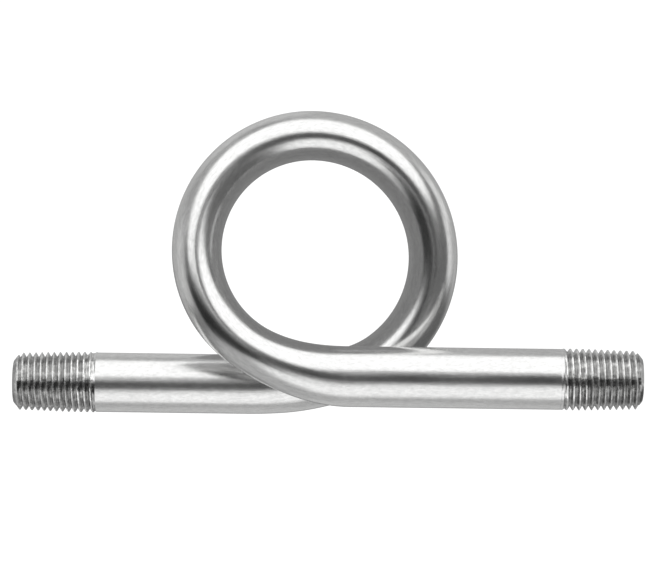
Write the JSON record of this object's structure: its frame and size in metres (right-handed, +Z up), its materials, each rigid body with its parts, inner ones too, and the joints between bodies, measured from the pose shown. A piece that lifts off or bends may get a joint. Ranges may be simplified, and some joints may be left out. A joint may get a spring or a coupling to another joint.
{
  "type": "pressure gauge siphon",
  "caption": "Coiled pipe siphon with one full loop between two straight legs, each ending in a male taper pipe thread, for mounting a pressure gauge on a steam line.",
  "frame": {"origin": "centre of the process end's face", "axes": "+X runs from the process end along the straight legs to the gauge end, +Z points up through the loop, and the gauge leg lies on the -Y side of the process leg"},
  "size_m": [0.1432, 0.0301, 0.0696],
  "materials": {
    "pipe": "bright drawn stainless steel, fine grain along the pipe",
    "cut_thread": "machined stainless steel, duller and finely torn along the thread"
  },
  "bodies": {
    "root": {"process_thread": "cut_thread", "process_leg": "pipe", "siphon_loop": "pipe", "gauge_leg": "pipe", "gauge_thread": "cut_thread"}
  },
  "joints": []
}
